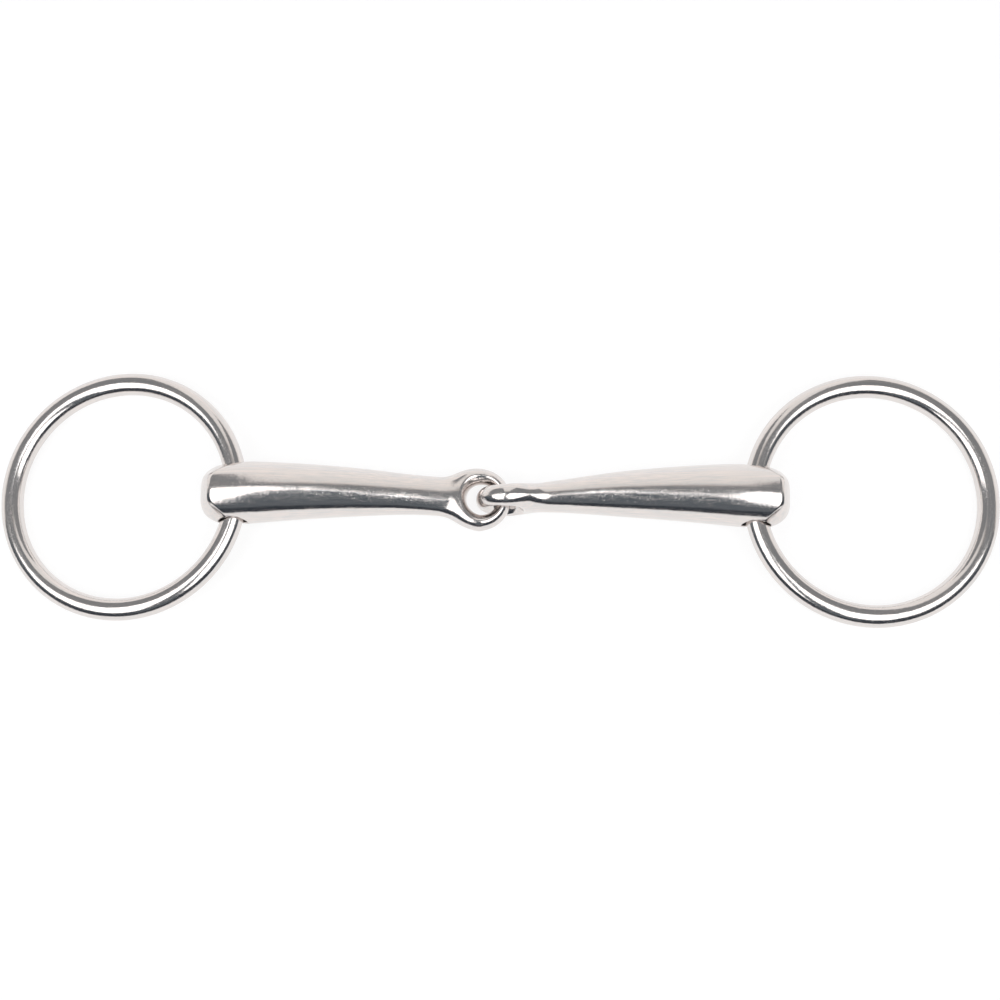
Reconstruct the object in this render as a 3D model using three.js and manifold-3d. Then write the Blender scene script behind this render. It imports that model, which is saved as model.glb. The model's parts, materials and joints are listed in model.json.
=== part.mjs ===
// Single-jointed loose-ring snaffle bit, lying flat: two cast cannons linked by their eyes,
// and a loose wire ring through the outer end of each.
// Millimetres. +X runs along the mouthpiece to the right, +Y across it, +Z up, z = 0 is the
// surface that it lies on. The link is at the middle of the length.
import * as THREE from 'three';
import { mergeVertices } from 'three/addons/utils/BufferGeometryUtils.js';
import Module from 'manifold-3d';

const wasm = await Module();
wasm.setup();

// Rings
const RING_OUTER_DIAMETER = 70;
const WIRE_RADIUS = 3.05;
const RING_RADIUS = RING_OUTER_DIAMETER / 2 - WIRE_RADIUS;
const RING_STEPS = 72;
const WIRE_SIDES = 16;

// Cannons, with every length along them measured from the link at the middle
const HOLE_DISTANCE = 71.1;
const BARREL_RADIUS = 8.6;
const BARREL_START = 67;
const SIDES = 36;
const AXIS_HEIGHT = BARREL_RADIUS * Math.cos(Math.PI / SIDES);

// Ring hole: a drilled hole a little wider at its mouths, so that the curved wire clears it
const HOLE_THROAT_RADIUS = 3.75;
const HOLE_MOUTH_RADIUS = 4.1;
const WIRE_SET_BACK = 0.4;
const HOLE_SIDES = 32;

// Eye: a round-edged disc, with its hole set towards the link
const EYE_CENTRE = 3.8;
const EYE_RADIUS = 8.55;
const EYE_HALF_THICKNESS = 3;
const EYE_HOLE_CENTRE = 3.1;
const EYE_HOLE_RADIUS = 4.2;
const EYE_HOLE_LIP_RADIUS = 6;
const SHAFT_START = EYE_CENTRE;

// Bow: seen from above each cannon curves gently towards +Y, which leaves the link to the -Y side
const BOW = 0.8;
const BOW_DISTANCE = 48;
const LINK_OFFSET = -1.6;

// Outer end: a blunt nose with cut corners, fullest at mid height
const NOSE_REACH = 80.3;
const NOSE_BULGE = 4;
const NOSE_HALF_HEIGHT = 8.75;
const NOSE_FLAT = 2.5;
const NOSE_CORNER = 2.5;
const NOSE_SIDE_CLEARANCE = 0.3;
const THIN = 0.02;

// How far cutters and trimmed stock run past the surface that they make
const PAST_SURFACE = 1;

// Half widths of a cannon in the plane of its eye and across that plane, as [distance, half width]
const IN_EYE_PLANE = [[SHAFT_START, 8.1], [9.3, 7.4], [12.8, 5.95], [17, 5.45], [30, 6.15],
  [45, 7.2], [57, 7.95], [BARREL_START, BARREL_RADIUS]];
const ACROSS_EYE_PLANE = [[SHAFT_START, EYE_HALF_THICKNESS], [11, 3.9], [20, 4.6], [30, 5.7],
  [45, 7.05], [57, 7.95], [BARREL_START, BARREL_RADIUS]];
const SHAFT_STEPS = 20;
const CURVE_SAMPLES = 400;

const POLISHED_STEEL = { color: 0xc9c7c4, metalness: 1, roughness: 0.12 };

// A closed three.js geometry as a manifold solid.
function solidFrom(geometry) {
  const bare = geometry.clone();
  bare.deleteAttribute('normal');
  bare.deleteAttribute('uv');
  const merged = mergeVertices(bare, 1e-4);
  const mesh = new wasm.Mesh({
    numProp: 3,
    vertProperties: Float32Array.from(merged.attributes.position.array),
    triVerts: Uint32Array.from(merged.index.array),
  });
  return new wasm.Manifold(mesh);
}

// A manifold solid as a three.js geometry.
function geometryFrom(solid) {
  const { vertProperties, triVerts } = solid.getMesh();
  const geometry = new THREE.BufferGeometry();
  geometry.setAttribute('position', new THREE.BufferAttribute(vertProperties, 3));
  geometry.setIndex(new THREE.BufferAttribute(triVerts, 1));
  geometry.computeVertexNormals();
  return geometry;
}

// The half width at one distance along a cannon, on a smooth curve through the given points.
function curveThrough(points) {
  const curve = new THREE.SplineCurve(points.map(([x, y]) => new THREE.Vector2(x, y)));
  const samples = curve.getPoints(CURVE_SAMPLES);
  return (distance) => {
    const after = samples.findIndex((p) => p.x >= distance);
    if (after < 1) return after === 0 ? samples[0].y : samples.at(-1).y;
    const [a, b] = [samples[after - 1], samples[after]];
    return THREE.MathUtils.mapLinear(distance, a.x, b.x, a.y, b.y);
  };
}

const inEyePlane = curveThrough(IN_EYE_PLANE);
const acrossEyePlane = curveThrough(ACROSS_EYE_PLANE);

// How far the middle of a cannon lies to the +Y side of the line between the two ring holes.
function bowAt(distance) {
  const along = (distance - BOW_DISTANCE) / BOW_DISTANCE;
  return BOW - (BOW - LINK_OFFSET) * along ** 2;
}

// Shifts each cross section of a cannon's geometry along Y by the bow there.
function bowed(geometry, towards) {
  const position = geometry.attributes.position;
  for (let i = 0; i < position.count; i++) {
    position.setY(i, position.getY(i) + towards * bowAt(position.getX(i)));
  }
  return geometry;
}

// The tapered body, turned about X and then flattened across the plane of the eye, which is
// X-Z here. Its facets are set so that one faces straight down.
function shaftGeometry() {
  const profile = [new THREE.Vector2(0, SHAFT_START)];
  for (let i = 0; i <= SHAFT_STEPS; i++) {
    const t = i / SHAFT_STEPS;
    const distance = THREE.MathUtils.lerp(SHAFT_START, BARREL_START, t ** 1.5);
    profile.push(new THREE.Vector2(inEyePlane(distance), distance));
  }
  const end = NOSE_REACH + PAST_SURFACE;
  profile.push(new THREE.Vector2(BARREL_RADIUS, end), new THREE.Vector2(0, end));
  const geometry = new THREE.LatheGeometry(profile, SIDES, Math.PI / SIDES);
  geometry.rotateZ(-Math.PI / 2);
  const position = geometry.attributes.position;
  for (let i = 0; i < position.count; i++) {
    const distance = position.getX(i);
    const flattening = acrossEyePlane(distance) / inEyePlane(distance);
    position.setY(i, position.getY(i) * flattening);
  }
  return geometry;
}

// The round-edged disc around the eye, with its axis along Y.
function eyeDiscGeometry() {
  const edgeSteps = 8;
  const edgeReach = EYE_RADIUS - EYE_HOLE_LIP_RADIUS;
  const profile = [new THREE.Vector2(0, -EYE_HALF_THICKNESS)];
  for (let i = 0; i <= edgeSteps; i++) {
    const angle = Math.PI * (i / edgeSteps - 0.5);
    const radius = EYE_RADIUS - edgeReach + edgeReach * Math.cos(angle);
    profile.push(new THREE.Vector2(radius, EYE_HALF_THICKNESS * Math.sin(angle)));
  }
  profile.push(new THREE.Vector2(0, EYE_HALF_THICKNESS));
  return new THREE.LatheGeometry(profile, SIDES).translate(EYE_CENTRE, 0, 0);
}

// A turned cutter along Y that is narrowest at its middle and wider towards both ends.
function waistedCutter(throatRadius, mouthRadius, mouthAt, sides) {
  const steps = 8;
  const reach = mouthAt + PAST_SURFACE;
  const profile = [new THREE.Vector2(0, -reach)];
  for (let i = 0; i <= steps; i++) {
    const y = reach * (2 * i / steps - 1);
    const flare = (mouthRadius - throatRadius) * (y / mouthAt) ** 2;
    profile.push(new THREE.Vector2(throatRadius + flare, y));
  }
  profile.push(new THREE.Vector2(0, reach));
  return new THREE.LatheGeometry(profile, sides);
}

// What the outer end is trimmed to: a blunt outline with cut corners, swelling to mid height.
function noseGeometry() {
  const front = NOSE_REACH - NOSE_BULGE;
  const half = [[front, 0], [front, NOSE_FLAT], [front - NOSE_CORNER, NOSE_FLAT + NOSE_CORNER],
    [HOLE_DISTANCE, BARREL_RADIUS - NOSE_BULGE + NOSE_SIDE_CLEARANCE]];
  const nearSide = half.toReversed().map(([x, y]) => new THREE.Vector2(x, -y));
  const farSide = half.slice(1).map(([x, y]) => new THREE.Vector2(x, y));
  const outline = new THREE.Shape();
  outline.moveTo(-BARREL_RADIUS, -BARREL_RADIUS);
  outline.lineTo(BARREL_START, -BARREL_RADIUS);
  outline.lineTo(nearSide[0].x, nearSide[0].y);
  outline.splineThru([...nearSide.slice(1), ...farSide]);
  outline.lineTo(BARREL_START, BARREL_RADIUS);
  outline.lineTo(-BARREL_RADIUS, BARREL_RADIUS);
  const geometry = new THREE.ExtrudeGeometry(outline, {
    depth: THIN,
    bevelThickness: NOSE_HALF_HEIGHT,
    bevelSize: NOSE_BULGE,
    bevelSegments: 8,
    curveSegments: 4,
  });
  return geometry.translate(0, 0, -THIN / 2);
}

// One cast half of the mouthpiece, along +X, with its ring hole along Y.
// eyeTurn turns the eye about X: 0 has the eye's axis along Y. towards is 1 or -1, the side of Y
// that the cannon bows to.
function cannonGeometry(eyeTurn, towards) {
  const eyeHole = waistedCutter(EYE_HOLE_RADIUS, EYE_HOLE_LIP_RADIUS, EYE_HALF_THICKNESS, SIDES);
  const eyeShift = towards * bowAt(EYE_CENTRE);
  const eyeDisc = eyeDiscGeometry().rotateX(eyeTurn).translate(0, eyeShift, 0);
  const throughEye = eyeHole.rotateX(eyeTurn).translate(EYE_HOLE_CENTRE, eyeShift, 0);
  const body = solidFrom(bowed(shaftGeometry().rotateX(eyeTurn), towards))
    .add(solidFrom(eyeDisc))
    .subtract(solidFrom(throughEye));
  const ringHole = waistedCutter(HOLE_THROAT_RADIUS, HOLE_MOUTH_RADIUS, BARREL_RADIUS,
    HOLE_SIDES);
  const trimmed = body
    .intersect(solidFrom(noseGeometry()))
    .subtract(solidFrom(ringHole.translate(HOLE_DISTANCE, 0, 0)));
  return geometryFrom(trimmed);
}

// One wire ring, with the point where it runs in the hole near the origin, reaching out along +X.
function ringGeometry() {
  const geometry = new THREE.TorusGeometry(RING_RADIUS, WIRE_RADIUS, WIRE_SIDES, RING_STEPS);
  return geometry.translate(RING_RADIUS - WIRE_SET_BACK, 0, 0);
}

function steelMesh(name, geometry) {
  const mesh = new THREE.Mesh(geometry, new THREE.MeshStandardMaterial(POLISHED_STEEL));
  mesh.name = name;
  return mesh;
}

// One side of the bit: a cannon along +X from the link, and its ring, which leans out and down
// until its outer edge lies on the surface.
function sideOf(name, eyeTurn, towards) {
  const side = new THREE.Group();
  side.position.z = AXIS_HEIGHT;
  side.add(steelMesh(`${name}_cannon`, cannonGeometry(eyeTurn, towards)));
  const hole = new THREE.Group();
  hole.position.x = HOLE_DISTANCE;
  const farWire = 2 * RING_RADIUS - WIRE_SET_BACK;
  hole.rotation.y = Math.asin((AXIS_HEIGHT - WIRE_RADIUS) / farWire);
  hole.add(steelMesh(`${name}_ring`, ringGeometry()));
  side.add(hole);
  return side;
}

const bit = new THREE.Group();
const left = sideOf('left', Math.PI / 2, -1);
left.rotation.z = Math.PI;
bit.add(left, sideOf('right', 0, 1));

export default bit;
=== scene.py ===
"""Looks of a single-jointed loose-ring snaffle bit in mirror-polished stainless steel.

The CAD frame gives the places and sizes. Each cannon and ring gets a fine smooth surface:
the cannons from a smooth solid formula in millimetres along the cannon, the rings as swept wire.
"""

import json
import math

import bpy
import numpy as np
import openvdb
from mathutils import Matrix, Vector


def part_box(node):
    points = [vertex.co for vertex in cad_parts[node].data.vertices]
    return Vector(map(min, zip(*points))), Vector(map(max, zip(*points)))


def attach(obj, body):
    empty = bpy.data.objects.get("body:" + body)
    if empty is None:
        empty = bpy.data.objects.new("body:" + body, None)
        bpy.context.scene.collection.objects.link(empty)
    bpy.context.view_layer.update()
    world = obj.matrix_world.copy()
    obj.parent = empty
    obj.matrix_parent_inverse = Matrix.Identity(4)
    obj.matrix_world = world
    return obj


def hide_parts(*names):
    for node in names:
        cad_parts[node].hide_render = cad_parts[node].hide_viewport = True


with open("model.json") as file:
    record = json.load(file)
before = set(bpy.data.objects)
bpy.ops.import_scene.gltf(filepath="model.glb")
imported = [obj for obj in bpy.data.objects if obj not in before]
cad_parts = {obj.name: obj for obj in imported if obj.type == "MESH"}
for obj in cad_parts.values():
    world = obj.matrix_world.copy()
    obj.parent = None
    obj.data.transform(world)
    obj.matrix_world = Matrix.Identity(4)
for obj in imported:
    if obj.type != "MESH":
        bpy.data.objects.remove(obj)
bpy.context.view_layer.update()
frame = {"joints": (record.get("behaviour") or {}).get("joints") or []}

MM = 0.001

# Where the pieces are, from the frame, in metres
joints = {joint["name"]: joint for joint in frame["joints"]}
HOLE_AT = {side: Vector(joints[side + "_ring_swing"]["pos_m"]) for side in ("left", "right")}
AXIS_HEIGHT = HOLE_AT["right"].z

# A cannon's own sizes, in millimetres, with distances along it measured from the middle link
HOLE_DISTANCE = HOLE_AT["right"].x / MM
BARREL_RADIUS = (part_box("right_cannon")[1].z - AXIS_HEIGHT) / MM
BARREL_START = 67
EYE_CENTRE = 3.8
EYE_RADIUS = 8.55
EYE_HALF_THICKNESS = 3
EYE_FLAT_RADIUS = 6
EYE_HOLE_CENTRE = 3.1
EYE_HOLE_RADIUS = 4.2
EYE_HOLE_LIP = 1.9
EYE_HOLE_LIP_LOSS = 1.1
RING_HOLE_RADIUS = 3.75
RING_HOLE_FLARE = 0.35
BOW = 0.8
BOW_DISTANCE = 48
LINK_OFFSET = -1.6

# The end wall: how far it and its D-shaped edge reach, and how the outline and edge turn back
NOSE_REACH = 80.3
NOSE_EDGE_REACH = {"left": 76.5, "right": 77.7}
NOSE_OUTLINE_HALF_WIDTH = BARREL_RADIUS + 0.65
NOSE_OUTLINE_POWER = 3.6
NOSE_EDGE_HALF_HEIGHT = BARREL_RADIUS + 0.3
NOSE_CORNER_AT = 4
NOSE_CORNER_SLOPE = 1.35
NOSE_CORNER_ROUNDING = 0.4
NOSE_STEEPNESS = 0.9
NOSE_CUT = 0.5

# How far the blends and the roundings between a cannon's surfaces reach
SHAFT_START_ROUNDING = 1
EYE_BLEND = 2.5
EYE_HOLE_ROUNDING = 0.7
NOSE_ROUNDING = 0.2
RING_HOLE_ROUNDING = 0.6

# Half widths of a cannon in the plane of its eye and across that plane, as (distance, half width)
IN_EYE_PLANE = [(EYE_CENTRE, 7.8), (9, 7.1), (12.5, 5.8), (17, 5.4), (24, 5.65), (32, 6.25),
                (45, 7.2), (57, 8.0), (BARREL_START, BARREL_RADIUS), (NOSE_REACH, BARREL_RADIUS)]
ACROSS_EYE_PLANE = [(EYE_CENTRE, EYE_HALF_THICKNESS), (8, 3.5), (13, 3.97), (20, 4.6), (30, 5.7),
                    (45, 7.05), (57, 7.95), (BARREL_START, BARREL_RADIUS),
                    (NOSE_REACH, BARREL_RADIUS)]

# The grid that a cannon's surface is found on
SURFACE_STEP = 0.28
GRID_MARGIN = 1
GRID_BOW_ROOM = 1.5
SETTLING_ROUNDS = 4

# The wire rings, in metres
WIRE_RADIUS = 3.05 * MM
RING_OUTER_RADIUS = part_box("right_ring")[1].y
RING_RADIUS = RING_OUTER_RADIUS - WIRE_RADIUS
RING_STEPS = 288
WIRE_SIDES = 40


# Curves and blends

def smooth_curve(points):
    """A natural cubic spline through (distance, value) points, level beyond its ends."""
    x, y = np.array(points, float).T
    gaps = np.diff(x)
    slopes = np.diff(y) / gaps
    count = len(x)
    matrix = np.eye(count)
    bends = np.zeros(count)
    for i in range(1, count - 1):
        matrix[i, i - 1:i + 2] = gaps[i - 1], 2 * (gaps[i - 1] + gaps[i]), gaps[i]
        bends[i] = 6 * (slopes[i] - slopes[i - 1])
    second = np.linalg.solve(matrix, bends)

    def value(at):
        at = np.clip(at, x[0], x[-1])
        i = np.clip(np.searchsorted(x, at) - 1, 0, count - 2)
        gap = gaps[i]
        before = (x[i + 1] - at) / gap
        after = 1 - before
        bend = (before ** 3 - before) * second[i] + (after ** 3 - after) * second[i + 1]
        return before * y[i] + after * y[i + 1] + bend * gap ** 2 / 6

    return value


def smooth_min(a, b, reach):
    """The smaller of two fields, rounded where they come within reach of each other."""
    near = np.maximum(reach - np.abs(a - b), 0) / reach
    return np.minimum(a, b) - near ** 3 * reach / 6


def smooth_max(a, b, reach):
    """The larger of two fields, rounded where they come within reach of each other."""
    return -smooth_min(-a, -b, reach)


def chamfered_max(a, b, cut, reach):
    """The larger of two fields, with the edge between them cut off flat."""
    across_edge = (a + b + cut) * math.sqrt(0.5)
    return smooth_max(smooth_max(a, b, reach), across_edge, reach)


def ellipse_field(u, v, u_radius, v_radius):
    """Nearly the distance from an ellipse, negative inside it."""
    near = np.hypot(u / u_radius, v / v_radius)
    steep = np.hypot(u / u_radius ** 2, v / v_radius ** 2)
    return near * (near - 1) / np.maximum(steep, 1e-6)


in_eye_plane = smooth_curve(IN_EYE_PLANE)
across_eye_plane = smooth_curve(ACROSS_EYE_PLANE)


# A cannon's solid: each field is negative inside. x runs from the link to the outer end, u lies
# in the plane of the eye and v across it; y and z are the directions along and across the ring
# hole.

def bow_at(x):
    """How far the middle of a cannon lies to the far side of the line between the ring holes."""
    along = (np.maximum(x, EYE_CENTRE) - BOW_DISTANCE) / BOW_DISTANCE
    return BOW - (BOW - LINK_OFFSET) * along ** 2


def shaft_field(x, u, v):
    """The tapered body, round at its thick end and flattened towards the eye."""
    body = ellipse_field(u, v, in_eye_plane(x), across_eye_plane(x))
    return smooth_max(body, EYE_CENTRE - x, SHAFT_START_ROUNDING)


def eye_disc_field(x, u, v):
    """The round-edged disc around the eye."""
    radius = np.hypot(x - EYE_CENTRE, u)
    beyond_flat = np.maximum(radius - EYE_FLAT_RADIUS, 0)
    edge = EYE_RADIUS - EYE_FLAT_RADIUS
    return ellipse_field(beyond_flat, v, edge, EYE_HALF_THICKNESS)


def eye_hole_field(x, u, v):
    """The hole through the eye, its rounded lip narrower on the side of the shaft."""
    radius = np.hypot(x - EYE_HOLE_CENTRE, u)
    shaftward = np.clip((x - EYE_HOLE_CENTRE) / np.maximum(radius, 0.1), 0, 1)
    lip = EYE_HOLE_LIP - EYE_HOLE_LIP_LOSS * shaftward ** 2
    wall = EYE_HOLE_RADIUS + lip * (v / EYE_HALF_THICKNESS) ** 2
    return (radius - wall) / np.hypot(1, 2 * lip * v / EYE_HALF_THICKNESS ** 2)


def ring_hole_field(x, y, z):
    """The hole that the ring runs in, a little wider at its mouths."""
    radius = np.hypot(x - HOLE_DISTANCE, z)
    return radius - RING_HOLE_RADIUS - RING_HOLE_FLARE * (y / BARREL_RADIUS) ** 2


def nose_field(x, y, z, edge_reach):
    """The end wall: it swells from a D-shaped edge line to a blunt round outline at mid height."""
    side = np.abs(y)
    spare = np.maximum(1 - (side / NOSE_OUTLINE_HALF_WIDTH) ** NOSE_OUTLINE_POWER, 1e-4)
    outline = BARREL_START + (NOSE_REACH - BARREL_START) * np.sqrt(spare)
    past_corner = np.logaddexp(0, (side - NOSE_CORNER_AT) / NOSE_CORNER_ROUNDING)
    edge_line = edge_reach - NOSE_CORNER_SLOPE * (past_corner * NOSE_CORNER_ROUNDING)
    half_height_squared = np.maximum(NOSE_EDGE_HALF_HEIGHT ** 2 - y ** 2, 1)
    fall = np.minimum(z ** 2 / half_height_squared, 1.5)
    wall = outline + (np.minimum(edge_line, outline) - outline) * fall
    return (x - wall) * NOSE_STEEPNESS


def cannon_field(side):
    """The field of one cannon, as a function of x, y and z."""
    upright_eye = side == "right"
    bow_side = 1 if upright_eye else -1

    def field(x, y, z):
        across = y - bow_side * bow_at(x)
        u, v = (z, across) if upright_eye else (across, z)
        body = smooth_min(shaft_field(x, u, v), eye_disc_field(x, u, v), EYE_BLEND)
        linked = smooth_max(body, -eye_hole_field(x, u, v), EYE_HOLE_ROUNDING)
        nose = nose_field(x, y, z, NOSE_EDGE_REACH[side])
        ended = chamfered_max(linked, nose, NOSE_CUT, NOSE_ROUNDING)
        return smooth_max(ended, -ring_hole_field(x, y, z), RING_HOLE_ROUNDING)

    return field


def field_gradient(field, points):
    """The field and its gradient at many points, by small steps."""
    step = 0.01
    gradient = np.empty_like(points)
    for axis in range(3):
        offset = np.zeros(3)
        offset[axis] = step
        ahead = field(*(points + offset).T)
        behind = field(*(points - offset).T)
        gradient[:, axis] = (ahead - behind) / (2 * step)
    return field(*points.T), gradient


def surface_of(field, low, high, step):
    """Points, outward normals and four-sided faces of the surface where a field is zero."""
    low = np.array(low, float)
    counts = np.ceil((np.array(high) - low) / step).astype(int) + 1
    axes = [low[i] + step * np.arange(counts[i]) for i in range(3)]
    samples = field(*np.meshgrid(*axes, indexing="ij"))
    grid = openvdb.FloatGrid(step * 3)
    grid.copyFromArray(samples.astype(np.float32))
    points, quads = grid.convertToQuads(0.0)
    points = low + np.array(points, float) * step
    for _ in range(SETTLING_ROUNDS):
        value, gradient = field_gradient(field, points)
        steep = np.maximum((gradient ** 2).sum(1), 1e-6)
        move = np.clip(value / steep, -step, step)
        points = points - gradient * move[:, None]
    _, gradient = field_gradient(field, points)
    normals = gradient / np.linalg.norm(gradient, axis=1)[:, None]
    return points, normals, np.array(quads)


# Meshes

def piece_from(name, points, faces, normals=None):
    """A smooth-shaded object, with its own normals if they are given."""
    mesh = bpy.data.meshes.new(name)
    mesh.from_pydata(points.tolist(), [], faces.tolist())
    mesh.validate()
    for polygon in mesh.polygons:
        polygon.use_smooth = True
    if normals is not None:
        mesh.normals_split_custom_set_from_vertices(normals.tolist())
    piece = bpy.data.objects.new(name, mesh)
    bpy.context.scene.collection.objects.link(piece)
    return piece


def turned(points, matrix):
    """Many points, turned by one matrix."""
    return points @ np.array(matrix.to_3x3()).T


def facing_out(points, faces, normals):
    """The faces, turned over if they face against the normals."""
    a, b, c = (points[faces[:, i]] for i in range(3))
    outward = (np.cross(b - a, c - b) * normals[faces[:, 0]]).sum()
    return faces if outward > 0 else faces[:, ::-1]


def cannon_piece(side):
    """One cannon, in the frame's place: the left one is turned half round about Z."""
    half_height = BARREL_RADIUS + GRID_MARGIN
    half_width = half_height + GRID_BOW_ROOM
    low = (EYE_CENTRE - EYE_RADIUS - GRID_MARGIN, -half_width, -half_height)
    high = (NOSE_REACH + GRID_MARGIN, half_width, half_height)
    points, normals, faces = surface_of(cannon_field(side), low, high, SURFACE_STEP)
    faces = facing_out(points, faces, normals)
    facing = Matrix.Rotation(math.pi if side == "left" else 0, 3, "Z")
    placed = turned(points * MM, facing) + np.array([0, 0, AXIS_HEIGHT])
    return piece_from(side + "_cannon_steel", placed, faces, turned(normals, facing))


def ring_piece(side):
    """One wire ring, swept round its circle, in the plane that the CAD ring leans in."""
    low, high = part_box(side + "_ring")
    outward = -1 if side == "left" else 1
    centre = (low + high) / 2
    lean = math.atan2(AXIS_HEIGHT - centre.z, abs(centre.x - HOLE_AT[side].x))
    turn = np.linspace(0, 2 * math.pi, RING_STEPS, endpoint=False)[:, None]
    about = np.linspace(0, 2 * math.pi, WIRE_SIDES, endpoint=False)[None, :]
    reach = RING_RADIUS + WIRE_RADIUS * np.cos(about)
    flat = np.stack([reach * np.cos(turn), reach * np.sin(turn),
                     WIRE_RADIUS * np.sin(about) + 0 * turn], axis=-1).reshape(-1, 3)
    points = turned(flat, Matrix.Rotation(lean * outward, 3, "Y")) + np.array(centre)
    index = np.arange(RING_STEPS * WIRE_SIDES).reshape(RING_STEPS, WIRE_SIDES)
    onward = np.roll(index, -1, axis=0)
    beside = np.roll(index, -1, axis=1)
    corner = np.roll(onward, -1, axis=1)
    faces = np.stack([index, onward, corner, beside], axis=-1).reshape(-1, 4)
    piece = piece_from(side + "_ring_steel", points, faces)
    lay_along_wire(piece)
    return piece


def lay_along_wire(piece):
    """A UV layer that runs from 0 to 1 round the ring and from 0 to 1 round its wire."""
    layer = piece.data.uv_layers.new(name=ALONG_WIRE)
    along, about = np.indices((RING_STEPS, WIRE_SIDES))
    corners = [(0, 0), (1, 0), (1, 1), (0, 1)]
    uv = [np.stack([(along + i) / RING_STEPS, (about + j) / WIRE_SIDES], axis=-1)
          for i, j in corners]
    layer.data.foreach_set("uv", np.stack(uv, axis=2).reshape(-1))


# Materials

class Nodes:
    """The node tree of a material or of the world, with short ways to add and join nodes."""

    def __init__(self, owner, shader="Principled BSDF"):
        owner.use_nodes = True
        self.tree = owner.node_tree
        self.shader = self.tree.nodes[shader]

    def add(self, kind, **settings):
        node = self.tree.nodes.new("ShaderNode" + kind)
        for key, value in settings.items():
            setattr(node, key, value)
        return node

    def join(self, output, socket):
        self.tree.links.new(output, socket)

    def noise(self, vector, scale, detail, stretch=(1, 1, 1)):
        """A noise with scale times stretch cells to a unit along each axis."""
        mapping = self.add("Mapping")
        mapping.inputs["Scale"].default_value = stretch
        self.join(vector, mapping.inputs["Vector"])
        noise = self.add("TexNoise")
        noise.inputs["Scale"].default_value = scale
        noise.inputs["Detail"].default_value = detail
        self.join(mapping.outputs["Vector"], noise.inputs["Vector"])
        return noise.outputs["Fac"]

    def ramp(self, value, stops):
        """A colour ramp with (position, grey or colour) stops."""
        ramp = self.add("ValToRGB")
        elements = ramp.color_ramp.elements
        while len(elements) < len(stops):
            elements.new(0.5)
        for element, (position, colour) in zip(elements, stops):
            element.position = position
            rgb = (colour,) * 3 if isinstance(colour, (int, float)) else colour
            element.color = (*rgb, 1)
        self.join(value, ramp.inputs["Fac"])
        return ramp.outputs["Color"]

    def bump(self, height, strength, distance, onto=None):
        """A normal from a height of 0 to 1, distance metres deep, on top of another normal."""
        bump = self.add("Bump")
        bump.inputs["Strength"].default_value = strength
        bump.inputs["Distance"].default_value = distance
        self.join(height, bump.inputs["Height"])
        if onto is not None:
            self.join(onto, bump.inputs["Normal"])
        return bump.outputs["Normal"]


# The steel. Its casting waves, mottling and pits are noises, in cells to a metre, and the ramps
# give a colour or a roughness for each noise value. Buffing lines run along X on the cannons, in
# cells to a metre, and along the wire on the rings, in cells to a turn.
WARM_STEEL = (0.79, 0.73, 0.70)
COOL_STEEL = (0.69, 0.67, 0.66)
CAST_CELLS = 150
MOTTLE_CELLS = 1800
PIT_CELLS = 1500
ALONG_WIRE = "along_wire"
CANNON_BUFFING = (60, 2600, 2600)
RING_BUFFING = (14, 60, 1)
TINTS = [(0.35, COOL_STEEL), (0.65, WARM_STEEL)]
BUFFING_ROUGHNESS = [(0.3, 0.06), (0.75, 0.17)]
MOTTLE_ROUGHNESS = [(0.42, 0.01), (0.72, 0.11)]
PIT_SHAPE = [(0.26, 0), (0.32, 1)]
CAST_DEPTH = 0.12 * MM
MOTTLE_DEPTH = 0.010 * MM
BUFFING_DEPTH = 0.008 * MM
PIT_DEPTH = 0.02 * MM


def polished_steel(name, buffing_cells, uv_layer=None):
    """Buffed stainless steel. The buffing follows a UV layer if one is named, or else X."""
    material = bpy.data.materials.new(name)
    nodes = Nodes(material)
    place = nodes.add("TexCoord").outputs["Object"]
    buffed = nodes.add("UVMap", uv_map=uv_layer).outputs["UV"] if uv_layer else place
    cast = nodes.noise(place, CAST_CELLS, detail=3)
    buffing = nodes.noise(buffed, 1, detail=4, stretch=buffing_cells)
    mottle = nodes.noise(place, MOTTLE_CELLS, detail=3)
    pits = nodes.ramp(nodes.noise(place, PIT_CELLS, detail=2), PIT_SHAPE)
    nodes.shader.inputs["Metallic"].default_value = 1
    nodes.join(nodes.ramp(buffing, TINTS), nodes.shader.inputs["Base Color"])
    roughness = nodes.add("Math", operation="ADD")
    nodes.join(nodes.ramp(buffing, BUFFING_ROUGHNESS), roughness.inputs[0])
    nodes.join(nodes.ramp(mottle, MOTTLE_ROUGHNESS), roughness.inputs[1])
    nodes.join(roughness.outputs["Value"], nodes.shader.inputs["Roughness"])
    waves = nodes.bump(cast, 0.6, CAST_DEPTH)
    mottled = nodes.bump(mottle, 0.6, MOTTLE_DEPTH, onto=waves)
    lines = nodes.bump(buffing, 0.8, BUFFING_DEPTH, onto=mottled)
    pitted = nodes.bump(pits, 0.5, PIT_DEPTH, onto=lines)
    nodes.join(pitted, nodes.shader.inputs["Normal"])
    return material


def plain_material(name, colour, glow):
    """A matt surface of the studio that gives off glow times its colour."""
    material = bpy.data.materials.new(name)
    nodes = Nodes(material)
    nodes.shader.inputs["Base Color"].default_value = (*colour, 1)
    nodes.shader.inputs["Roughness"].default_value = MATT_ROUGHNESS
    nodes.shader.inputs["Emission Color"].default_value = (*colour, 1)
    nodes.shader.inputs["Emission Strength"].default_value = glow
    return material


# Studio: a white floor, a room that is dark on the near side and pale on the far side, and a
# white panel overhead, partly hidden by flat screens. Heights and corners are in metres. The room's
# colours go by the angle in degrees from overhead, positive towards the far side.

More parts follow.
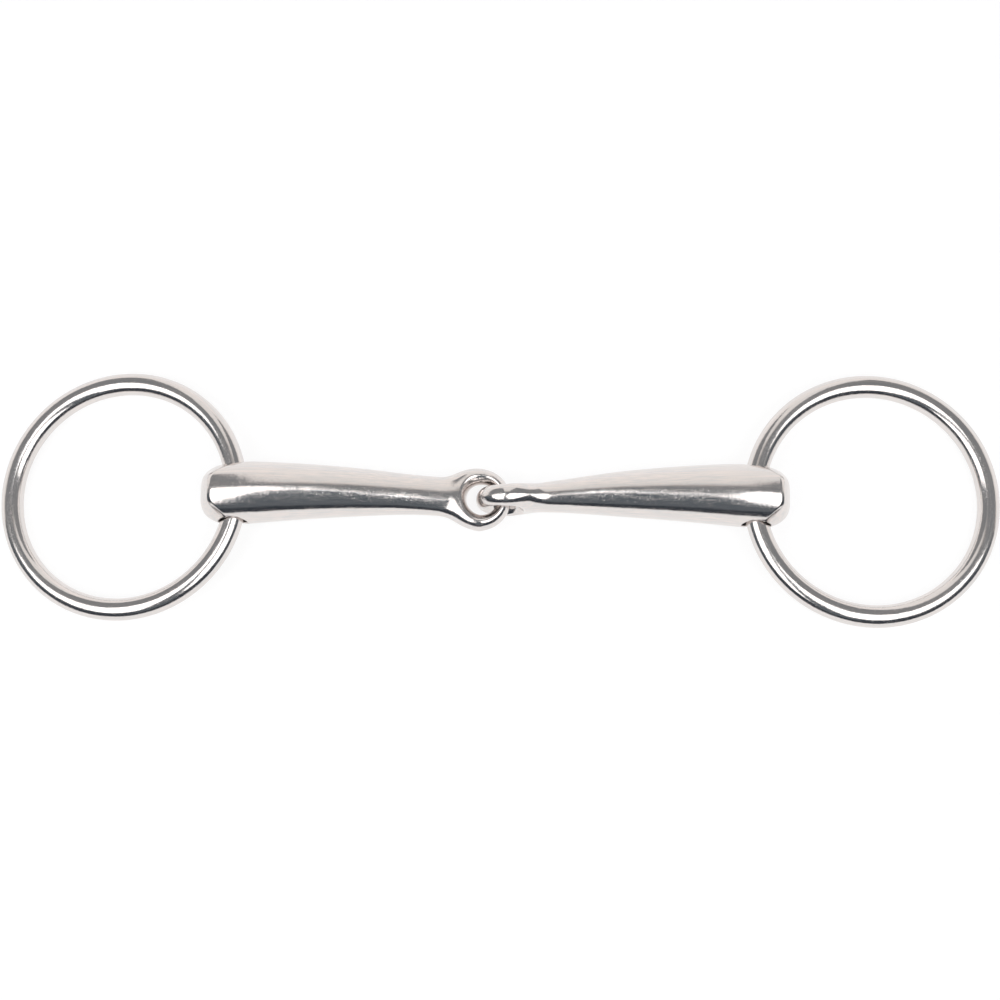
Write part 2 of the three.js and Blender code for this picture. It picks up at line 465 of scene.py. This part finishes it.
MATT_ROUGHNESS = 0.9
FLOOR_HALF_WIDTH = 3
FLOOR_COLOUR = (0.25, 0.25, 0.25)
FLOOR_GLOW = 3.23
PANEL_COLOUR = (1, 1, 1)
PANEL_GLOW = 1.35
SCREEN_GREY = (0.13, 0.135, 0.14)
SCREEN_DARK = (0.055, 0.065, 0.075)
SCREEN_GLOW = 0.9
PANEL_HEIGHT = 0.8
PANEL = [(-0.6, -0.95), (0.5, -0.95), (1.1, -0.45), (1.1, 0.1), (0.6, 0.24), (-0.6, 0.24),
         (-1.1, 0.1), (-1.1, -0.45)]
SCREEN_HEIGHT = 0.6
FAR_SCREEN = [(-0.110, 0.19), (-0.062, 0.05), (-0.050, 0.0), (0.03, -0.205), (0.05, -0.06),
              (0.109, 0.04), (0.14, 0.19)]
NEAR_SCREEN = [(-0.062, -0.022), (-0.10, -0.18), (-0.14, -0.29), (-0.20, -0.54), (-0.42, -1.6),
               (0.35, -1.6), (0.109, -0.56), (0.024, -0.226)]
SIDE_SCREEN_HEIGHT = 0.62
LEFT_SCREEN = [(-0.08, 0.10), (-0.25, 0.07), (-1.6, -0.05), (-1.6, 1.3), (-0.40, 1.3),
               (-0.226, 0.74), (-0.14, 0.38), (-0.11, 0.25)]
RIGHT_SCREEN = [(0.11, 0.24), (0.109, 0.04), (1.6, -0.05), (1.6, 1.3), (0.45, 1.3),
                (0.22, 0.66), (0.125, 0.36)]
ROOM = [(-90, (0.03, 0.035, 0.045)), (-60, (0.06, 0.07, 0.085)), (-30, (0.11, 0.13, 0.15)),
        (12, (0.20, 0.21, 0.22)), (21, (0.45, 0.44, 0.43)), (28, (0.90, 0.88, 0.86)),
        (50, (0.97, 0.95, 0.93)), (80, (1.05, 1.02, 1.0))]
ROOM_LIMIT = 100


def flat_stage(name, outline, height, material):
    """A flat level shape of the studio, with its corners in metres."""
    corners = np.array([(x, y, height) for x, y in outline])
    stage = piece_from(name, corners, np.array([range(len(outline))]))
    stage.data.materials.append(material)
    return stage


def build_panel():
    """The white panel and the screens under it, which only the reflections show."""
    white = plain_material("panel_white", PANEL_COLOUR, PANEL_GLOW)
    grey = plain_material("screen_grey", SCREEN_GREY, SCREEN_GLOW)
    dark = plain_material("screen_dark", SCREEN_DARK, SCREEN_GLOW)
    panel = flat_stage("panel", PANEL, PANEL_HEIGHT, white)
    screens = [
        flat_stage("far_screen", FAR_SCREEN, SCREEN_HEIGHT, grey),
        flat_stage("near_screen", NEAR_SCREEN, SCREEN_HEIGHT, dark),
        flat_stage("left_screen", LEFT_SCREEN, SIDE_SCREEN_HEIGHT, grey),
        flat_stage("right_screen", RIGHT_SCREEN, SIDE_SCREEN_HEIGHT, grey),
    ]
    for overhead in (panel, *screens):
        overhead.visible_camera = False


def build_room():
    """The room, coloured by the angle from straight overhead towards the far side."""
    world = bpy.data.worlds.new("studio_room")
    nodes = Nodes(world, "Background")
    towards = nodes.add("SeparateXYZ")
    nodes.join(nodes.add("TexCoord").outputs["Generated"], towards.inputs["Vector"])
    angle = nodes.add("Math", operation="ARCTAN2")
    nodes.join(towards.outputs["Y"], angle.inputs[0])
    nodes.join(towards.outputs["Z"], angle.inputs[1])
    share = nodes.add("MapRange")
    nodes.join(angle.outputs["Value"], share.inputs["Value"])
    share.inputs["From Min"].default_value = math.radians(-ROOM_LIMIT)
    share.inputs["From Max"].default_value = math.radians(ROOM_LIMIT)
    stops = [((degrees + ROOM_LIMIT) / (2 * ROOM_LIMIT), colour) for degrees, colour in ROOM]
    nodes.join(nodes.ramp(share.outputs["Result"], stops), nodes.shader.inputs["Color"])
    bpy.context.scene.world = world


def build_studio():
    half = FLOOR_HALF_WIDTH
    square = [(-half, -half), (half, -half), (half, half), (-half, half)]
    flat_stage("floor", square, 0, plain_material("white_floor", FLOOR_COLOUR, FLOOR_GLOW))
    build_panel()
    build_room()


# The camera: nearly overhead, a little from the near side, turned slightly
CAMERA_TARGET = Vector((1.8, -1.1, 8.0)) * MM
CAMERA_DISTANCE = 539 * MM
CAMERA_TILT = math.radians(13.13)
CAMERA_YAW = math.radians(3.04)
CAMERA_ROLL = math.radians(1.05)
CAMERA_LENS_MM = 71.2
CAMERA_SENSOR_MM = 36


def build_camera():
    level = math.cos(CAMERA_TILT)
    back = Vector((math.sin(CAMERA_YAW) * level, -math.sin(CAMERA_TILT),
                   math.cos(CAMERA_YAW) * level))
    back.normalize()
    across = Vector((0, 1, 0)).cross(back).normalized()
    upward = back.cross(across)
    right = across * math.cos(CAMERA_ROLL) + upward * math.sin(CAMERA_ROLL)
    up = upward * math.cos(CAMERA_ROLL) - across * math.sin(CAMERA_ROLL)
    data = bpy.data.cameras.new("camera")
    data.sensor_width = CAMERA_SENSOR_MM
    data.lens = CAMERA_LENS_MM
    data.clip_start = 0.01
    camera = bpy.data.objects.new("camera", data)
    facing = Matrix((right, up, back)).transposed().to_4x4()
    camera.matrix_world = Matrix.Translation(CAMERA_TARGET + back * CAMERA_DISTANCE) @ facing
    bpy.context.scene.collection.objects.link(camera)
    bpy.context.scene.camera = camera


def place_piece(piece, node, material):
    """Gives a piece its steel, and puts it in the place of its CAD node and on its body."""
    piece.data.materials.append(material)
    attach(piece, node)
    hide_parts(node)


def build_bit():
    cannon_steel = polished_steel("cannon_steel", CANNON_BUFFING)
    ring_steel = polished_steel("ring_steel", RING_BUFFING, uv_layer=ALONG_WIRE)
    for side in ("left", "right"):
        place_piece(cannon_piece(side), side + "_cannon", cannon_steel)
        place_piece(ring_piece(side), side + "_ring", ring_steel)


build_camera()
build_bit()
build_studio()
bpy.context.scene.view_settings.view_transform = "Standard"
